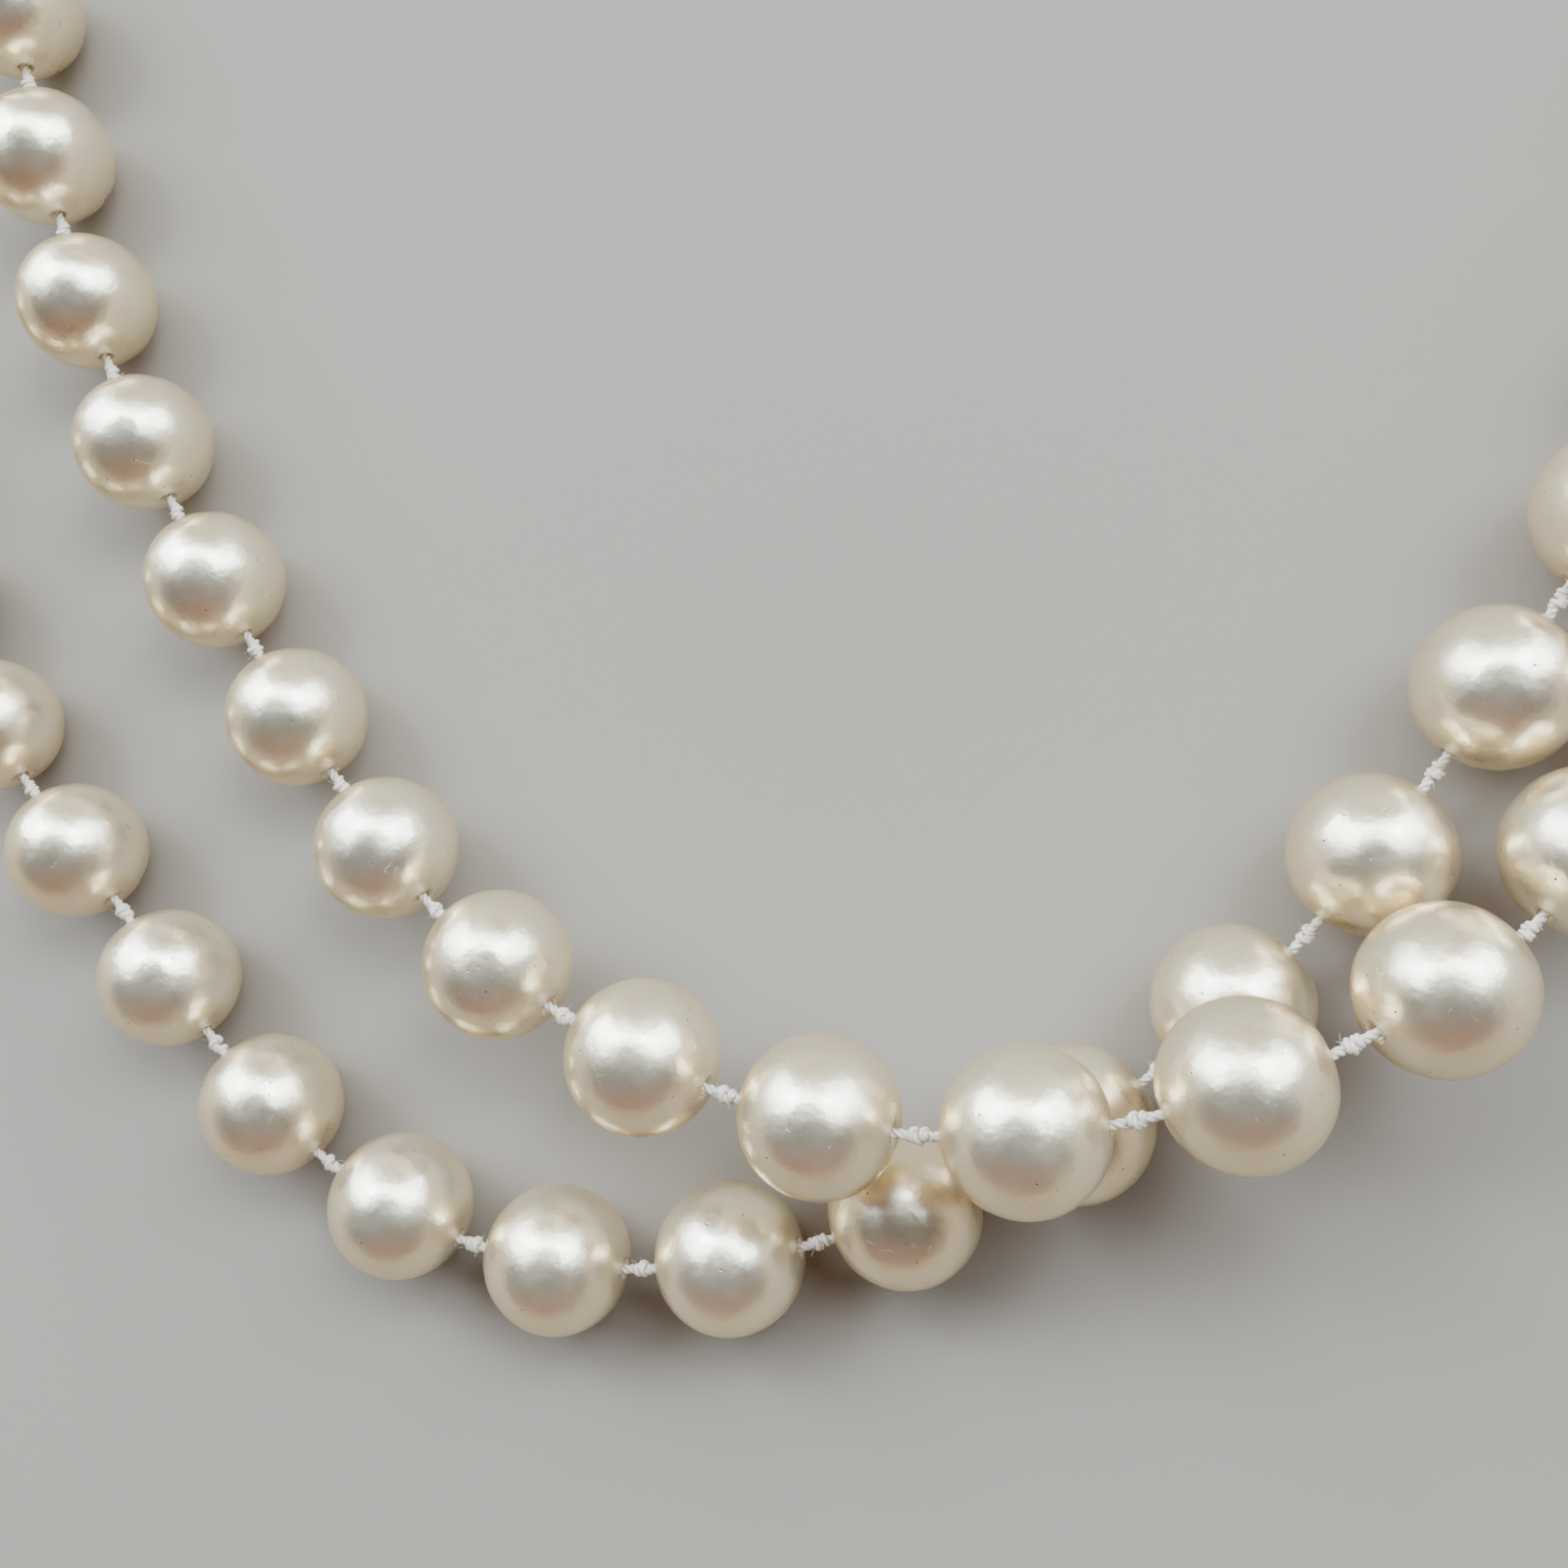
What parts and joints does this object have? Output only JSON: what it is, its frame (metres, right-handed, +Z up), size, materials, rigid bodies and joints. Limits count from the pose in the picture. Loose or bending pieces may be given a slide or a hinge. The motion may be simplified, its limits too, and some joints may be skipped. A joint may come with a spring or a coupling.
{
  "type": "knotted pearl necklace",
  "caption": "Long rope of round pearls knotted one by one on white silk, wound twice round the neck and closed at the back with a small lobster clasp.",
  "frame": {"origin": "on the floor, under the middle of the whole necklace", "axes": "+Z up from the surface it lies on; +Y from the front of the neck to the back, where the clasp is; +X to the right seen from above with the back at the top"},
  "size_m": [0.1502, 0.1833, 0.0159],
  "materials": {
    "pearl_coat": "satin nacre coat over a round bead",
    "silk": "twisted white silk",
    "gold_tone": "polished gold tone",
    "spring_steel": "drawn wire"
  },
  "bodies": {
    "row_06": {"row_06_pearls": "pearl_coat", "row_06_thread": "silk"},
    "row_05": {"row_05_pearls": "pearl_coat", "row_05_thread": "silk"},
    "row_04": {"row_04_pearls": "pearl_coat", "row_04_thread": "silk"},
    "row_03": {"row_03_pearls": "pearl_coat", "row_03_thread": "silk"},
    "row_02": {"row_02_pearls": "pearl_coat", "row_02_thread": "silk"},
    "row_01": {"row_01_pearls": "pearl_coat", "row_01_thread": "silk"},
    "front": {"over_run_pearl_01": "pearl_coat", "over_run_pearl_02": "pearl_coat", "over_run_pearl_03": "pearl_coat", "over_run_pearl_04": "pearl_coat", "over_run_pearl_05": "pearl_coat", "over_run_pearl_06": "pearl_coat", "over_run_pearl_07": "pearl_coat", "over_run_pearl_08": "pearl_coat", "over_run_thread": "silk", "under_run_pearl_01": "pearl_coat", "under_run_pearl_07": "pearl_coat", "under_run_pearl_08": "pearl_coat", "under_run_pearl_09": "pearl_coat", "under_run_pearl_10": "pearl_coat", "under_run_thread": "silk"},
    "outer_bight": {"under_run_pearl_02": "pearl_coat", "under_run_pearl_03": "pearl_coat", "under_run_pearl_04": "pearl_coat", "under_run_pearl_05": "pearl_coat", "under_run_pearl_06": "pearl_coat", "bight_thread": "silk"},
    "row_07": {"row_07_pearls": "pearl_coat", "row_07_thread": "silk"},
    "row_08": {"row_08_pearls": "pearl_coat", "row_08_thread": "silk"},
    "row_09": {"row_09_pearls": "pearl_coat", "row_09_thread": "silk"},
    "row_10": {"row_10_pearls": "pearl_coat", "row_10_thread": "silk"},
    "row_11": {"row_11_pearls": "pearl_coat", "row_11_thread": "silk"},
    "back": {"bead_tip_left": "gold_tone", "bead_tip_right": "gold_tone", "claw_body": "gold_tone", "inner_back_pearls_left": "pearl_coat", "inner_back_pearls_right": "pearl_coat", "inner_back_thread_left": "silk", "inner_back_thread_right": "silk", "lever_rivet": "gold_tone", "lever_spring": "spring_steel", "outer_back_pearls": "pearl_coat", "outer_back_thread": "silk"},
    "claw_lever": {"claw_lever": "gold_tone"},
    "tail_ring": {"tail_ring": "gold_tone"},
    "catch_ring": {"catch_ring": "gold_tone"}
  },
  "joints": [
    {"name": "front_fold_6", "type": "hinge", "parent": "row_06", "child": "row_05", "pos_m": [0, -0.01817, 0.004], "axis": [-1, 0, 0], "range_deg": [0, 18]},
    {"name": "front_fold_5", "type": "hinge", "parent": "row_05", "child": "row_04", "pos_m": [0, -0.02764, 0.004], "axis": [-1, 0, 0], "range_deg": [0, 18]},
    {"name": "front_fold_4", "type": "hinge", "parent": "row_04", "child": "row_03", "pos_m": [0, -0.03677, 0.004], "axis": [-1, 0, 0], "range_deg": [0, 18]},
    {"name": "front_fold_3", "type": "hinge", "parent": "row_03", "child": "row_02", "pos_m": [0, -0.04547, 0.004], "axis": [-1, 0, 0], "range_deg": [0, 18]},
    {"name": "front_fold_2", "type": "hinge", "parent": "row_02", "child": "row_01", "pos_m": [0, -0.05373, 0.004], "axis": [-1, 0, 0], "range_deg": [0, 18]},
    {"name": "front_fold_1", "type": "hinge", "parent": "row_01", "child": "front", "pos_m": [0, -0.0618, 0.004], "axis": [-1, 0, 0], "range_deg": [0, 18]},
    {"name": "back_fold_1", "type": "hinge", "parent": "row_06", "child": "row_07", "pos_m": [0, -0.00854, 0.004], "axis": [1, 0, 0], "range_deg": [0, 18]},
    {"name": "back_fold_2", "type": "hinge", "parent": "row_07", "child": "row_08", "pos_m": [0, 0.00122, 0.004], "axis": [1, 0, 0], "range_deg": [0, 18]},
    {"name": "back_fold_3", "type": "hinge", "parent": "row_08", "child": "row_09", "pos_m": [0, 0.01103, 0.004], "axis": [1, 0, 0], "range_deg": [0, 18]},
    {"name": "back_fold_4", "type": "hinge", "parent": "row_09", "child": "row_10", "pos_m": [0, 0.02087, 0.004], "axis": [1, 0, 0], "range_deg": [0, 18]},
    {"name": "back_fold_5", "type": "hinge", "parent": "row_10", "child": "row_11", "pos_m": [0, 0.03071, 0.004], "axis": [1, 0, 0], "range_deg": [0, 18]},
    {"name": "back_fold_6", "type": "hinge", "parent": "row_11", "child": "back", "pos_m": [0, 0.04056, 0.004], "axis": [1, 0, 0], "range_deg": [0, 18]},
    {"name": "outer_bight_lift", "type": "hinge", "parent": "front", "child": "outer_bight", "pos_m": [-0.0164, -0.07749, 0.004], "axis": [-0.928, 0.3726, 0], "range_deg": [0, 60]},
    {"name": "claw_lever_pivot", "type": "hinge", "parent": "back", "child": "claw_lever", "pos_m": [0.00456, 0.07486, 0.00275], "axis": [0, 0, -1], "range_deg": [0, 20], "stiffness_Nm_per_rad": 0.0004, "springref_deg": -11.46},
    {"name": "tail_ring_turn", "type": "hinge", "parent": "back", "child": "tail_ring", "pos_m": [-0.00173, 0.07356, 0.00275], "axis": [0, 1, 0], "continuous": true},
    {"name": "catch_ring_turn", "type": "hinge", "parent": "back", "child": "catch_ring", "pos_m": [0.01286, 0.07356, 0.00275], "axis": [0, 1, 0], "continuous": true}
  ]
}
